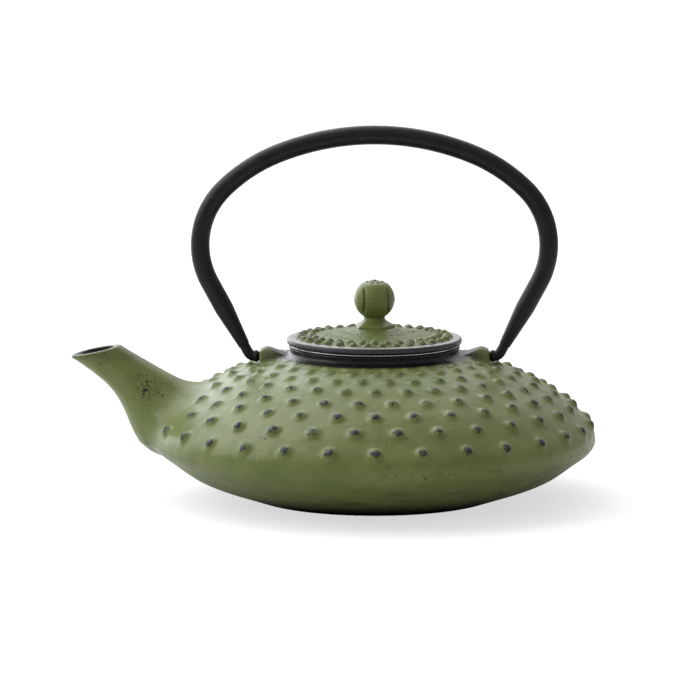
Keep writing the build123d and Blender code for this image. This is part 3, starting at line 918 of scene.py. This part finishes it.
def add_sheet(name, half, height, colour, glow):
    """Square matt sheet of the stage, lying flat."""
    mesh = bpy.data.meshes.new(name)
    corners = [(-half, -half, height), (half, -half, height), (half, half, height), (-half, half, height)]
    mesh.from_pydata(corners, [], [(0, 1, 2, 3)])
    sheet = bpy.data.objects.new(name, mesh)
    bpy.context.scene.collection.objects.link(sheet)
    m = Nodes(name + "_paper")
    m.put(m.shader.inputs["Specular IOR Level"], 0.1)
    paper = m.finish(Base_Color=colour, Roughness=0.9, Emission_Color=WHITE, Emission_Strength=glow)
    mesh.materials.append(paper)
    return sheet


def make_floor():
    """Pale floor: a glowing sheet that only the camera sees, and a plain one that throws light upwards."""
    floor = add_sheet("floor", 12.0, 0.0, FLOOR_GREY, FLOOR_GLOW)
    floor.visible_diffuse = False
    floor.visible_glossy = False
    floor.visible_shadow = False
    bounce = add_sheet("floor_bounce", 0.7, -0.2 * MM, BOUNCE_GREY, 0.0)
    bounce.visible_camera = False


LIT_POINT = Vector((0, 0, 0.05))


def add_light(name, kind, energy, place, size, colour=WHITE[:3]):
    """Studio light at a place, turned to the pot; size is in metres, or in degrees for a sun."""
    light = bpy.data.lights.new(name, kind)
    light.energy = energy
    light.color = colour
    if kind == "AREA":
        light.size = size
    else:
        light.angle = math.radians(size)
    lamp = bpy.data.objects.new(name, light)
    lamp.location = place
    lamp.rotation_mode = "QUATERNION"
    lamp.rotation_quaternion = (LIT_POINT - Vector(place)).to_track_quat("-Z", "Y")
    bpy.context.scene.collection.objects.link(lamp)


BRIGHT_SIDE = (-0.33, 0.42, 0.845)  # direction of the brightest part of the surroundings
DIMMEST = 0.06
BRIGHTEST = 0.90


def make_surroundings():
    """White all round, growing brighter towards one side."""
    world = bpy.data.worlds.new("studio")
    world.use_nodes = True
    tree = world.node_tree
    background = tree.nodes["Background"]
    towards = tree.nodes.new("ShaderNodeVectorMath")
    towards.operation = "DOT_PRODUCT"
    towards.inputs[1].default_value = BRIGHT_SIDE
    tree.links.new(tree.nodes.new("ShaderNodeTexCoord").outputs["Generated"], towards.inputs[0])
    glow = tree.nodes.new("ShaderNodeMapRange")
    for name, value in {"From Min": -1, "From Max": 1, "To Min": DIMMEST, "To Max": BRIGHTEST}.items():
        glow.inputs[name].default_value = value
    tree.links.new(towards.outputs["Value"], glow.inputs["Value"])
    tree.links.new(glow.outputs["Result"], background.inputs["Strength"])
    background.inputs["Color"].default_value = WHITE
    bpy.context.scene.world = world


def light_studio():
    """White surroundings, a broad light overhead, and softboxes behind and on the left."""
    make_surroundings()
    add_light("overhead", "SUN", 0.88, (-0.55, 0.35, 1.3), 35)
    add_light("left_softbox", "AREA", 12, (-0.72, 0.90, 0.52), 1.3, (0.92, 0.96, 1.0))
    add_light("back_softbox", "AREA", 3.0, (0.15, 0.90, 1.00), 0.9, (0.96, 0.98, 1.0))
    add_light("side_softbox", "AREA", 6.0, (-1.10, -0.15, 0.75), 0.8)
    bpy.context.scene.view_settings.view_transform = "Standard"


SENSOR_WIDTH = 36
LENS = 256
CAMERA_DISTANCE = 2.0
CAMERA_ELEVATION = 8.0
AIM = Vector((-0.0098, 0, 0.0594))


def place_camera():
    """Long lens, a little above the lid, looking along +Y."""
    data = bpy.data.cameras.new("camera")
    data.sensor_width = SENSOR_WIDTH
    data.lens = LENS
    camera = bpy.data.objects.new("camera", data)
    bpy.context.scene.collection.objects.link(camera)
    angle = math.radians(CAMERA_ELEVATION)
    back = Vector((0, -math.cos(angle), math.sin(angle)))
    camera.location = AIM + back * CAMERA_DISTANCE
    camera.rotation_mode = "QUATERNION"
    camera.rotation_quaternion = (-back).to_track_quat("-Z", "Y")
    bpy.context.scene.camera = camera


# ---------------------------------------------------------------- scene

def main():
    """Castings, bail, strainer and stage."""
    iron = glazed_iron()
    make_pot(iron)
    make_lid(iron)
    make_knob(iron)
    satin = black_satin()
    make_hooks(satin)
    NODES["bail_tube"].data.materials.clear()
    NODES["bail_tube"].data.materials.append(satin)
    make_strainer(steel("polished_steel", 0.16, (1, 1, 12)), steel("steel_wire", 0.22, (1, 1, 1)))
    plated = steel("plated_steel", 0.26, (1, 1, 4))
    for node in ("knob_screw", "knob_washer"):
        NODES[node].data.materials.clear()
        NODES[node].data.materials.append(plated)
    make_floor()
    light_studio()
    place_camera()


main()
